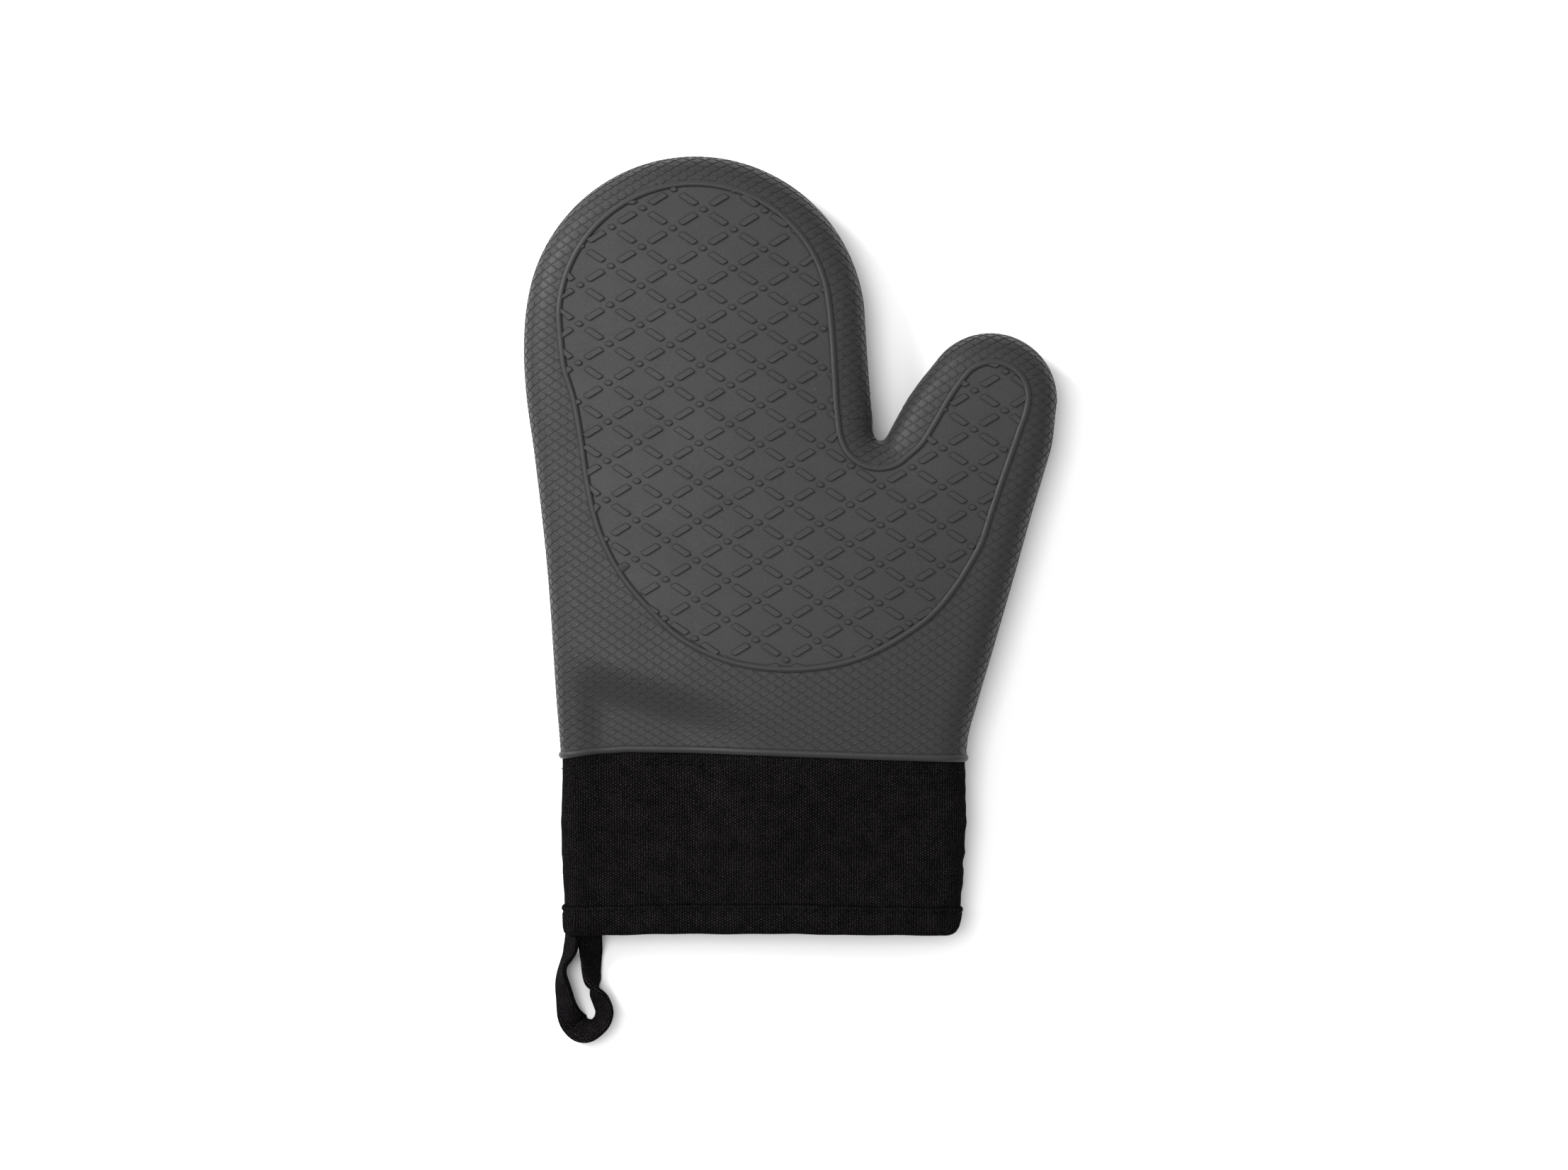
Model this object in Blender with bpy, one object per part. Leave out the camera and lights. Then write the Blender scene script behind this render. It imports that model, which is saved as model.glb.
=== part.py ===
"""Oven mitt, lying palm up: a silicone glove over a padded cotton liner, with a canvas cuff and a loop.

Frame: +X towards the thumb, +Y towards the fingertips, +Z up from the surface that the mitt lies on.
Every layer is a shell between two cushion shapes, which share one outline and differ in their inset.
The shells are cut into a palm, a finger and a thumb section, so that the fingers and thumb can flex.
"""
import math

import bmesh
import bpy
from mathutils import Matrix, Vector

# ---- driving dimensions, metres ----
MM = 0.001
THICKNESS = 30 * MM                 # of the glove, table to palm
EDGE_ROUND = 14 * MM                # how far in from the silhouette the rounded edge reaches
EDGE_STEPS = 4                      # facets from the silhouette to the flat face
EDGE_SQUARENESS = 0.85              # power of the rounded edge's sine and cosine; 1 is an ellipse
GAP = 0.3 * MM                      # between neighbouring solids

GLOVE_WALL = 2.2 * MM               # silicone
WADDING = 2.5 * MM                  # heat-proof padding under the silicone
LINING = 1.0 * MM                   # cotton against the hand
THREAD_PROUD = 0.45 * MM            # stitches stand this far out of the canvas
CANVAS_INSET = THREAD_PROUD + GAP
CANVAS_WALL = 1.2 * MM

RIM_Y = -57 * MM                    # lower edge of the silicone
HEM_TOP_Y = -107.3 * MM
HEM_BOTTOM_Y = -117 * MM
CUTTER_END_Y = -150 * MM            # the cushions run on past the open mouth
TAPER_START_Y = -50 * MM            # the cuff gets flatter from here to the mouth
TAPER_SLOPE = 0.26 / (67 * MM)      # share of the thickness lost per metre

CROTCH = Vector((31.4 * MM, 54.6 * MM))
CROTCH_RADIUS = 2.2 * MM
FINGER_ARC = (Vector((-32.8 * MM, 94.1 * MM)), 58.8 * MM)
THUMB_ARC = (Vector((69.3 * MM, 68.7 * MM)), 22.8 * MM)
THUMB_ALONG = Vector((0.555, 0.832)).normalized()
THUMB_ACROSS = Vector((THUMB_ALONG.y, -THUMB_ALONG.x))
FINGER_HINGE_Y = 80 * MM
THUMB_HINGE_PAST_CROTCH = 15 * MM

LOOP_HEIGHT = 9.2 * MM              # the folded tape leans on its edge
LOOP_CLEARANCE = 0.7 * MM           # from the hem to the loop's rounded ends

SILICONE = ("silicone_dark_grey", (0.085, 0.085, 0.090, 1.0), 0.62)
COTTON_WADDING = ("wadding_off_white", (0.70, 0.68, 0.62, 1.0), 0.95)
COTTON_LINING = ("lining_dark_grey", (0.060, 0.060, 0.062, 1.0), 0.90)
CANVAS = ("canvas_black", (0.016, 0.015, 0.017, 1.0), 0.88)
THREAD = ("thread_black", (0.020, 0.020, 0.022, 1.0), 0.70)


def clear_scene():
    for obj in list(bpy.data.objects):
        bpy.data.objects.remove(obj, do_unlink=True)


def new_collection(name):
    collection = bpy.data.collections.new(name)
    bpy.context.scene.collection.children.link(collection)
    return collection


def make_material(name, colour, roughness):
    material = bpy.data.materials.get(name) or bpy.data.materials.new(name)
    material.use_nodes = True
    shader = material.node_tree.nodes["Principled BSDF"]
    shader.inputs["Base Color"].default_value = colour
    shader.inputs["Roughness"].default_value = roughness
    shader.inputs["Metallic"].default_value = 0.0
    return material


# ---- the mitt's outline, anticlockwise seen from above ----

def arc(centre, radius, start_deg, end_deg, steps):
    points = []
    for step in range(steps + 1):
        angle = math.radians(start_deg + (end_deg - start_deg) * step / steps)
        points.append(centre + radius * Vector((math.cos(angle), math.sin(angle))))
    return points


def in_mm(*pairs):
    return [Vector((x * MM, y * MM)) for x, y in pairs]


def mitt_outline():
    """Right side of the cuff and thumb, thumb tip, crotch, fingertips, then down the left side."""
    crotch_centre = CROTCH + Vector((0, CROTCH_RADIUS))
    points = in_mm((59.3, CUTTER_END_Y / MM), (59.3, -117), (60.3, -62), (60.2, -52))
    points += in_mm((65.0, -35.8), (77.5, 7.3), (85.4, 35.0), (89.9, 50.4))
    points += arc(*THUMB_ARC, -14, 128, 10)
    points += in_mm((48.9, 79.7), (41.5, 69.9), (35.7, 60.1))
    points += arc(crotch_centre, CROTCH_RADIUS, -30, -165, 4)
    points += in_mm((28.4, 64.0), (27.2, 76.0))
    points += arc(*FINGER_ARC, 0, 172, 18)
    points += in_mm((-92.3, 88.0), (-91.7, 74.5), (-90.1, 61.5), (-87.1, 38.0), (-84.4, 13.4))
    points += in_mm((-80.8, -35.8), (-79.2, -53.0))
    points += in_mm((-79.1, -62), (-78.3, -117), (-78.3, CUTTER_END_Y / MM))
    return points


def moved_inward(outline, distance):
    """The outline with each point moved inward along its mitred normal."""
    moved = []
    for index, point in enumerate(outline):
        before = (point - outline[index - 1]).normalized()
        after = (outline[(index + 1) % len(outline)] - point).normalized()
        bisector = (before + after).normalized()
        inward = Vector((-bisector.y, bisector.x))
        moved.append(point + inward * distance / max(0.5, bisector.dot(after)))
    return moved


def flattened(y):
    """Share of the full thickness that is left at this distance along the mitt."""
    return 1 - TAPER_SLOPE * max(0.0, TAPER_START_Y - y)


def flatten_cuff(bm):
    """Split the faces where the taper starts, then press the cuff towards the table."""
    geometry = bm.verts[:] + bm.edges[:] + bm.faces[:]
    plane_point = Vector((0, TAPER_START_Y, 0))
    bmesh.ops.bisect_plane(bm, geom=geometry, plane_co=plane_point, plane_no=Vector((0, 1, 0)), dist=1e-6)
    for vertex in bm.verts:
        vertex.co.z *= flattened(vertex.co.y)


def mesh_from_rings(name, rings):
    """Loft closed rings of equal length, with a flat face on the first and the last."""
    bm = bmesh.new()
    rows = [[bm.verts.new(point) for point in ring] for ring in rings]
    for lower, upper in zip(rows, rows[1:]):
        for index in range(len(lower)):
            following = (index + 1) % len(lower)
            bm.faces.new((lower[index], lower[following], upper[following], upper[index]))
    bm.faces.new(reversed(rows[0]))
    bm.faces.new(rows[-1])
    flatten_cuff(bm)
    mesh = bpy.data.meshes.new(name)
    bm.to_mesh(mesh)
    bm.free()
    return mesh


def cushion_mesh(name, inset):
    """The mitt's full shape with its skin moved inward by the inset."""
    outline = mitt_outline()
    middle = THICKNESS / 2
    rings = []
    for step in range(-EDGE_STEPS, EDGE_STEPS + 1):
        angle = math.pi / 2 * step / EDGE_STEPS
        closeness = max(0.0, math.cos(angle)) ** EDGE_SQUARENESS
        rise = math.copysign(abs(math.sin(angle)) ** EDGE_SQUARENESS, step)
        ring = moved_inward(outline, inset + (EDGE_ROUND - inset) * (1 - closeness))
        height = middle + (middle - inset) * rise
        rings.append([(point.x, point.y, height) for point in ring])
    return mesh_from_rings(name, rings)


def prism_mesh(name, outline, bottom, top):
    rings = [[(point.x, point.y, height) for point in outline] for height in (bottom, top)]
    return mesh_from_rings(name, rings)


# ---- sections: the plan areas that stay with the palm, the fingers and the thumb ----

BEYOND = 200 * MM
VALLEY_X = 36.4 * MM                # between the fingers and the thumb at the hinge line


def thumb_line(past_crotch, across):
    return CROTCH + THUMB_ALONG * past_crotch + THUMB_ACROSS * across


def palm_area(low_y):
    cut = THUMB_HINGE_PAST_CROTCH - GAP / 2
    finger_cut = FINGER_HINGE_Y - GAP / 2
    valley = thumb_line(cut, -4 * MM)
    return [Vector((-BEYOND, low_y)), Vector((BEYOND, low_y)), thumb_line(cut, 170 * MM), valley,
            Vector((VALLEY_X, finger_cut)), Vector((-BEYOND, finger_cut))]


def finger_area():
    cut = FINGER_HINGE_Y + GAP / 2
    return [Vector((-BEYOND, cut)), Vector((VALLEY_X, cut)), Vector((VALLEY_X, BEYOND)),
            Vector((-BEYOND, BEYOND))]


def thumb_area():
    cut = THUMB_HINGE_PAST_CROTCH + GAP / 2
    return [thumb_line(cut, -4 * MM), thumb_line(cut, 90 * MM), thumb_line(120 * MM, 90 * MM),
            thumb_line(120 * MM, -4 * MM)]


def band_area(low_y, high_y, left=-BEYOND, right=BEYOND):
    return [Vector((left, low_y)), Vector((right, low_y)), Vector((right, high_y)), Vector((left, high_y))]


# ---- nodes ----

class Workshop:
    """Keeps the part and cutter collections, and the cutters already made."""

    def __init__(self):
        self.parts = new_collection("oven_mitt")
        self.cutters = new_collection("cutters")
        self.made = {}

    def cutter(self, name, mesh_maker):
        if name not in self.made:
            obj = bpy.data.objects.new(name, mesh_maker(name))
            obj.hide_render = True
            obj.display_type = "WIRE"
            self.cutters.objects.link(obj)
            self.made[name] = obj
        return self.made[name]

    def cushion_cutter(self, inset):
        name = f"cutter_cushion_{round(inset / MM * 100):04d}"
        return self.cutter(name, lambda key: cushion_mesh(key, inset))

    def prism_cutter(self, name, outline, bottom, top):
        return self.cutter(name, lambda key: prism_mesh(key, outline, bottom, top))

    def part(self, name, mesh, look):
        mesh.materials.append(make_material(*look))
        obj = bpy.data.objects.new(name, mesh)
        self.parts.objects.link(obj)
        return obj


def add_boolean(obj, cutter, operation):
    modifier = obj.modifiers.new(f"{operation.lower()}_{cutter.name}", "BOOLEAN")
    modifier.object = cutter
    modifier.operation = operation
    modifier.solver = "EXACT"


def shell(shop, name, look, outer_inset, wall, area_name, area, half="whole"):
    """One layer of the mitt: outer cushion less inner cushion, kept over one area and one half."""
    middle = THICKNESS / 2
    heights = {"whole": (-THICKNESS, 2 * THICKNESS), "back": (-THICKNESS, middle - GAP / 2),
               "front": (middle + GAP / 2, 2 * THICKNESS)}
    keep = shop.prism_cutter(f"cutter_{area_name}_{half}", area, *heights[half])
    obj = shop.part(name, cushion_mesh(name, outer_inset), look)
    add_boolean(obj, shop.cushion_cutter(outer_inset + wall), "DIFFERENCE")
    add_boolean(obj, keep, "INTERSECT")
    return obj


def hinge_empty(shop, name, location):
    empty = bpy.data.objects.new(name, None)
    empty.location = location
    shop.parts.objects.link(empty)
    return empty


def parent_to(empty, objects):
    for obj in objects:
        obj.parent = empty
        obj.matrix_parent_inverse = Matrix.Translation(empty.location).inverted()


def glove(shop):
    """The silicone moulding, cut where its fingers and thumb flex."""
    sections = {"palm": palm_area(RIM_Y), "finger": finger_area(), "thumb": thumb_area()}
    return {section: shell(shop, f"silicone_{section}", SILICONE, 0.0, GLOVE_WALL, f"glove_{section}", area)
            for section, area in sections.items()}


def liner(shop, layer, look, outer_inset, wall):
    """A padded or cotton layer: front and back panels in each section, reaching into the hem."""
    hem_inside = HEM_BOTTOM_Y + CANVAS_WALL + GAP
    sections = {"palm": palm_area(hem_inside), "finger": finger_area(), "thumb": thumb_area()}
    made = {}
    for section, area in sections.items():
        made[section] = [shell(shop, f"{layer}_{section}_{half}", look, outer_inset, wall,
                               f"liner_{section}", area, half) for half in ("front", "back")]
    return made


def cuff(shop):
    """Two canvas panels, sewn along both sides of the wrist."""
    area = band_area(HEM_TOP_Y + GAP, RIM_Y - GAP)
    for half in ("front", "back"):
        shell(shop, f"cuff_{half}", CANVAS, CANVAS_INSET, CANVAS_WALL, "cuff", area, half)


def hem_binding(shop, liner_inner_inset):
    """The turned hem: a channel round the mouth that holds the edges of the liner."""
    inner_inset = liner_inner_inset + GAP + CANVAS_WALL
    area = band_area(HEM_BOTTOM_Y, HEM_TOP_Y)
    obj = shell(shop, "hem_binding", CANVAS, CANVAS_INSET, inner_inset - CANVAS_INSET, "hem", area)
    groove_area = band_area(HEM_BOTTOM_Y + CANVAS_WALL, RIM_Y)
    groove_outer = CANVAS_INSET + CANVAS_WALL
    groove = shop.cutter("cutter_hem_groove", lambda key: cushion_mesh(key, groove_outer))
    add_boolean(groove, shop.cushion_cutter(liner_inner_inset + GAP), "DIFFERENCE")
    groove_keep = shop.prism_cutter("cutter_hem_groove_keep", groove_area, -THICKNESS, 2 * THICKNESS)
    add_boolean(groove, groove_keep, "INTERSECT")
    add_boolean(obj, groove, "DIFFERENCE")


def stitching(shop, name, centre_y):
    """A line of thread right round the cuff."""
    half_width = 0.35 * MM
    area = band_area(centre_y - half_width, centre_y + half_width)
    shell(shop, name, THREAD, 0.0, THREAD_PROUD, name, area)


def loop_sewn_ends(shop, wadding_inset):
    """The ends of the loop's tape, caught between the hem and the padding at the left corner."""
    outer = CANVAS_INSET + CANVAS_WALL + 0.15 * MM
    wall = wadding_inset - outer - 0.15 * MM
    area = band_area(HEM_BOTTOM_Y + CANVAS_WALL + GAP, HEM_TOP_Y - GAP, right=-62 * MM)
    shell(shop, "loop_sewn_ends", CANVAS, outer, wall, "loop_ends", area, "back")


def hanging_loop(shop):
    """Folded canvas tape in a teardrop; its ends are round about the axis that it swings on."""
    outer = in_mm((-78.6, -116), (-80.2, -126), (-81.3, -136), (-80.4, -146), (-77.4, -151.1),
                  (-72.4, -152.9), (-67.0, -151.5), (-62.3, -148.4), (-60.7, -144.2), (-62.0, -140.1),
                  (-65.0, -134.6), (-65.6, -126), (-64.8, -116))
    inner = in_mm((-73.0, -125.0), (-76.8, -132), (-77.3, -140), (-75.8, -146.2), (-71.4, -149.0),
                  (-66.8, -147.4), (-65.4, -144.4), (-68.6, -137.8), (-69.6, -131))
    curve = bpy.data.curves.new("loop_plan", "CURVE")
    curve.dimensions = "2D"
    curve.fill_mode = "BOTH"
    curve.extrude = LOOP_HEIGHT
    curve.resolution_u = 2
    for outline in (outer, inner):
        spline = curve.splines.new("BEZIER")
        spline.bezier_points.add(len(outline) - 1)
        spline.use_cyclic_u = True
        for bezier_point, position in zip(spline.bezier_points, outline):
            bezier_point.co = (position.x, position.y, 0)
            bezier_point.handle_left_type = "AUTO"
            bezier_point.handle_right_type = "AUTO"
    plan = bpy.data.objects.new("loop_plan", curve)
    shop.parts.objects.link(plan)
    evaluated = plan.evaluated_get(bpy.context.evaluated_depsgraph_get())
    mesh = bpy.data.meshes.new_from_object(evaluated)
    bpy.data.objects.remove(plan, do_unlink=True)
    bm = bmesh.new()
    bm.from_mesh(mesh)
    bmesh.ops.remove_doubles(bm, verts=bm.verts[:], dist=1e-5)
    bmesh.ops.recalc_face_normals(bm, faces=bm.faces[:])
    bm.to_mesh(mesh)
    bm.free()
    loop = shop.part("hanging_loop", mesh, CANVAS)
    add_boolean(loop, rounded_slab(shop), "INTERSECT")
    return loop


def rounded_slab(shop):
    """A slab as thick as the loop, with its edge at the hem rounded to a half circle."""
    bm = bmesh.new()
    bmesh.ops.create_cube(bm, size=1.0)
    length = 60 * MM
    front = HEM_BOTTOM_Y - LOOP_CLEARANCE
    bmesh.ops.scale(bm, vec=Vector((BEYOND, length, LOOP_HEIGHT)), verts=bm.verts[:])
    bmesh.ops.translate(bm, vec=Vector((0, front - length / 2, LOOP_HEIGHT / 2)), verts=bm.verts[:])
    hem_edges = [edge for edge in bm.edges
                 if all(abs(vertex.co.y - front) < 1e-6 for vertex in edge.verts)
                 and abs(edge.verts[0].co.x - edge.verts[1].co.x) > BEYOND / 2]
    bmesh.ops.bevel(bm, geom=hem_edges, offset=LOOP_HEIGHT * 0.499, segments=5, profile=0.5,
                    affect="EDGES")
    mesh = bpy.data.meshes.new("cutter_loop_slab")
    bm.to_mesh(mesh)
    bm.free()
    return shop.cutter("cutter_loop_slab", lambda key: mesh)


def main():
    clear_scene()
    shop = Workshop()
    glove_sections = glove(shop)
    wadding_inset = GLOVE_WALL + GAP
    lining_inset = wadding_inset + WADDING + GAP
    wadding = liner(shop, "wadding", COTTON_WADDING, wadding_inset, WADDING)
    lining = liner(shop, "lining", COTTON_LINING, lining_inset, LINING)
    cuff(shop)
    hem_binding(shop, lining_inset + LINING)
    stitching(shop, "rim_stitching", RIM_Y - 3.4 * MM)
    stitching(shop, "hem_stitching", HEM_TOP_Y - 2.6 * MM)
    loop_sewn_ends(shop, wadding_inset)
    loop = hanging_loop(shop)

    finger_hinge = hinge_empty(shop, "finger_hinge", (0, FINGER_HINGE_Y, THICKNESS))
    parent_to(finger_hinge, [glove_sections["finger"]] + wadding["finger"] + lining["finger"])
    thumb_point = thumb_line(THUMB_HINGE_PAST_CROTCH, 30 * MM)
    thumb_hinge = hinge_empty(shop, "thumb_hinge", (thumb_point.x, thumb_point.y, THICKNESS))
    parent_to(thumb_hinge, [glove_sections["thumb"]] + wadding["thumb"] + lining["thumb"])
    loop_axis_y = HEM_BOTTOM_Y - LOOP_CLEARANCE - LOOP_HEIGHT / 2
    parent_to(hinge_empty(shop, "loop_hinge", (-72 * MM, loop_axis_y, LOOP_HEIGHT / 2)), [loop])


main()
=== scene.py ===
"""The looks of an oven mitt: embossed silicone over a quilted liner, a black canvas cuff and a tape loop.

Everything on the mitt's skin is drawn on a flat pattern plane and then wrapped onto it. Within the flat
faces the pattern plane is the plan view. Past the shoulder, where the rounded edge starts, the distance on
the plane is the distance along the curved skin, so the pattern runs round the edge without stretching.
"""
import math

import bmesh
import bpy
import numpy as np
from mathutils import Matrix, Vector, geometry
from mathutils.kdtree import KDTree


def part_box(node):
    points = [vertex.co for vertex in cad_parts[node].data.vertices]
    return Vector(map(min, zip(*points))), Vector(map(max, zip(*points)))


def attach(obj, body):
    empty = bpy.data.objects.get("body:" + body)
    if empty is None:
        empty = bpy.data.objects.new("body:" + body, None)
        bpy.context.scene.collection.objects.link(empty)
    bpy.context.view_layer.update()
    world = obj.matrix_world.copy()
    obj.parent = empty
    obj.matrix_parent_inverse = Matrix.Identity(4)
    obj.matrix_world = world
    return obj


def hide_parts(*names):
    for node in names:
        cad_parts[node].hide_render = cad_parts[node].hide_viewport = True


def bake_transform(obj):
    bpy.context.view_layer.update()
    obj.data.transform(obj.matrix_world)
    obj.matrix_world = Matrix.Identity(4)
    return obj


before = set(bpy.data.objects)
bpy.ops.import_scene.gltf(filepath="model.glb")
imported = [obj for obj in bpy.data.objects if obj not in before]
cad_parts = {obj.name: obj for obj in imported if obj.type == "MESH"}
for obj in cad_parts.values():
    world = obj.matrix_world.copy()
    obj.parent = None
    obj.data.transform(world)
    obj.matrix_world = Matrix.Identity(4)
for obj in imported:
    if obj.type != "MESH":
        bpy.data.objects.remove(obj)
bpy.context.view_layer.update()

MM = 0.001
GLOVE_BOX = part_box("silicone_palm")
HEM_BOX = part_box("hem_binding")
RIM_Y = GLOVE_BOX[0].y
HEM_TOP_Y = HEM_BOX[1].y
HEM_BOTTOM_Y = HEM_BOX[0].y

# ---- the skin ----
EDGE_WIDTH = 14 * MM  # from the silhouette in to the shoulder
EDGE_SQUARENESS = 0.62  # power of the rounded edge's sine and cosine
RELIEF = 0.85 * MM  # the rib's height: it touches the CAD box's top and the table
CROWN = 4.0 * MM  # how much the palm bulges above its shoulders
BACK_CROWN = 1.0 * MM
GLOVE_SHOULDER = GLOVE_BOX[1].z - RELIEF - CROWN
CUFF_SHOULDER = 18.6 * MM  # height of the cuff's upper shoulder at the hem
BACK_SHOULDER = RELIEF + BACK_CROWN
GLOVE_EQUATOR = 13.0 * MM
CUFF_EQUATOR = 10.0 * MM
SLUMP = 5.0 * MM  # the padding has sunk at the heel of the hand

# ---- grip pattern ----
LATTICE_TURN = math.radians(-1.15)
GRIP_PITCH = (20.97 * MM, 13.41 * MM)
GRIP_ORIGIN = (-0.85 * MM, 5.6 * MM)
FINE_PITCH = (5.24 * MM, 3.47 * MM)
RIB_RADIUS = 1.1 * MM
DASH_HEIGHT = 0.66 * MM
RIDGE_HEIGHT = 0.16 * MM
RIDGE_SIZE = (2.5 * MM, 0.74 * MM)
DOT_SIZE = (0.62 * MM, 0.56 * MM)
SUNK = 0.15 * MM  # relief starts this far under the skin

# ---- soft layers, depth under the silicone's skin ----
SILICONE_WALL = 1.8 * MM
WADDING_DEPTH = 2.0 * MM
WADDING_WALL = 1.7 * MM
LINING_DEPTH = 4.0 * MM
LINING_WALL = 0.6 * MM

CROTCH = np.array((31.4, 54.6)) * MM
THUMB_ALONG = np.array((0.555, 0.832)) / math.hypot(0.555, 0.832)
THUMB_ACROSS = np.array((THUMB_ALONG[1], -THUMB_ALONG[0]))
MAIN, THUMB = 0, 1

# ---- canvas and stitches ----
QUILT_SIZE = 24 * MM
CANVAS_WALL = 0.7 * MM
LOOP_WIDTH = 9.8 * MM
LOOP_THICK = 1.6 * MM
LOOP_LEAN_SCALE = 5 * MM  # gives lean and bulk the scale of lengths while the line is smoothed
STITCH_PITCH = 3.7 * MM

# ---- stage ----
VIEW_WIDTH = 543.9 * MM  # how much of the table's width the camera sees
VIEW_CENTRE = (-2.1 * MM, 4.5 * MM)
WORLD_STRENGTH = 0.74
LIGHTS = (("key", (-1.06, 0.62, 0.87), 0.5, 30.0),  # name, place, size, power
          ("overhead", (-0.40, 0.15, 1.65), 0.8, 17.0))


# ---- curves in the plane ----

def lengths(vectors):
    return np.linalg.norm(vectors, axis=-1)


def unit(vectors):
    return vectors / lengths(vectors)[..., None]


def run_along(line):
    """The distance along a line at each of its points."""
    return np.concatenate([[0], np.cumsum(lengths(np.diff(line, axis=0)))])


def arc(centre, radius, start_deg, end_deg, steps):
    angles = np.radians(np.linspace(start_deg, end_deg, steps + 1))
    return [(centre[0] + radius * math.cos(a), centre[1] + radius * math.sin(a)) for a in angles]


def interpolate(at, run, line):
    """Points of a line where its run has the values at."""
    return np.column_stack([np.interp(at, run, column) for column in line.T])


def blended_slope(before, at, after):
    """The direction of a curve at a point between two others, nearer to that of its shorter side."""
    back, ahead = lengths(at - before), lengths(after - at)
    return ((at - before) / back * ahead + (after - at) / ahead * back) / (back + ahead)


def smooth_line(controls, spacing, closed=False):
    """Evenly spaced points along a smooth curve through the controls."""
    points = np.array(controls, float)
    if closed:
        points = np.vstack([points[-1:], points, points[:2]])
    else:
        points = np.vstack([2 * points[0] - points[1], points, 2 * points[-1] - points[-2]])
    share = np.linspace(0, 1, 24, endpoint=False)[:, None]
    pieces = []
    for before, start, end, after in zip(points, points[1:], points[2:], points[3:]):
        span = lengths(end - start)
        leave = blended_slope(before, start, end) * span
        arrive = blended_slope(start, end, after) * span
        square, cube = share ** 2, share ** 3
        pieces.append(start * (2 * cube - 3 * square + 1) + leave * (cube - 2 * square + share)
                      + end * (3 * square - 2 * cube) + arrive * (cube - square))
    pieces.append(points[-2][None])
    line = np.vstack(pieces)
    run = run_along(line)
    count = max(4, round(run[-1] / spacing))
    at = np.linspace(0, run[-1], count + 1)
    if closed:
        at = at[:-1]
    return interpolate(at, run, line)


def mitt_outline():
    """The silhouette in millimetres, anticlockwise from the right of the cuff to its left."""
    points = [(58.4, -135), (58.8, -117), (60.0, -105), (61.0, -90), (61.6, -70), (61.1, -57)]
    points += [(61.5, -49.5), (65.0, -35.8), (70.4, -17.3), (77.5, 7.3), (84.4, 31.8), (88.1, 44.1)]
    points += [(90.5, 52.5), *arc((69.4, 68.7), 23.0, -12, 128, 12)]
    points += [(48.9, 79.7), (41.5, 69.9), (35.7, 60.1)]
    points += arc((31.4, 56.8), 2.2, -25, -160, 4)
    points += [(28.6, 62.5), (27.3, 75), (26.5, 86)]
    points += arc((-32.8, 94.1), 58.8, 0, 172, 20)
    points += [(-92.2, 86), (-91.6, 73), (-88.6, 50.2), (-84.4, 13.4), (-80.9, -35.8), (-79.5, -57)]
    points += [(-79.9, -80), (-78.6, -117), (-78.4, -135)]
    return points


def rib_outline():
    """The raised rib round the grip panel in millimetres, anticlockwise from the heel of the hand."""
    points = [(0.0, -24.4), (10.5, -23.7), (21.2, -21.4), (31.0, -17.4), (40.0, -12.2), (49.5, -4.9)]
    points += [(56.1, 3.0), (61.3, 11.0), (65.6, 18.9), (68.8, 28.6), (71.9, 37.9), (75.3, 47.6)]
    points += [(78.7, 57.3), *arc((69.7, 69.0), 12.2, -16, 148, 9)]
    points += [(54.6, 68.7), (49.5, 59.9), (44.4, 52.3)]
    points += arc((30.6, 58.2), 13.6, -42, -165, 7)
    points += [(16.2, 62.5), (15.3, 75.3), (14.4, 90.1)]
    points += arc((-33.0, 96.0), 46.6, 5, 176, 20)
    points += [(-78.9, 89.2), (-77.7, 79.3), (-74.7, 69.4), (-72.3, 57.2), (-70.6, 45.4), (-68.9, 35.3)]
    points += [(-66.3, 25.1), (-62.1, 15.0), (-56.4, 5.7), (-48.4, -3.6), (-37.9, -13.5), (-28.9, -18.5)]
    points += [(-19.9, -21.9), (-9.2, -23.9)]
    return points


def ramp(value, start, end):
    """0 before start, 1 after end, smooth between."""
    share = np.clip((value - start) / (end - start), 0, 1)
    return share * share * (3 - 2 * share)


def is_inside(points, polygon):
    x, y = points.T
    result = np.zeros(len(points), bool)
    for (x0, y0), (x1, y1) in zip(polygon, np.roll(polygon, -1, axis=0)):
        if y0 != y1:
            crosses = (y0 > y) != (y1 > y)
            result ^= crosses & (x < (x1 - x0) * (y - y0) / (y1 - y0) + x0)
    return result


class Nearest:
    """Finds the nearest of many fixed points in the plane."""

    def __init__(self, points):
        self.tree = KDTree(len(points))
        for index, (x, y) in enumerate(points):
            self.tree.insert((x, y, 0), index)
        self.tree.balance()

    def index(self, points):
        return np.array([self.tree.find((x, y, 0))[1] for x, y in points], int)


# ---- the mitt's skin ----

def crown_grid(outline, step=2 * MM, rounds=3500):
    """How a tight skin bulges inside the outline: 0 at the silhouette and 1 at its highest point."""
    low = outline.min(axis=0) - step
    count = np.ceil((outline.max(axis=0) + step - low) / step).astype(int) + 1
    xs = low[0] + step * np.arange(count[0])
    ys = low[1] + step * np.arange(count[1])
    grid_x, grid_y = np.meshgrid(xs, ys, indexing="ij")
    inner = is_inside(np.column_stack([grid_x.ravel(), grid_y.ravel()]), outline).reshape(grid_x.shape)
    height = np.zeros(grid_x.shape)
    for _ in range(rounds):
        padded = np.pad(height, 1, mode="edge")
        around = padded[:-2, 1:-1] + padded[2:, 1:-1] + padded[1:-1, :-2] + padded[1:-1, 2:]
        height = np.where(inner, (around + 1) / 4, 0)
    return low, step, height / height.max()


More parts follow.
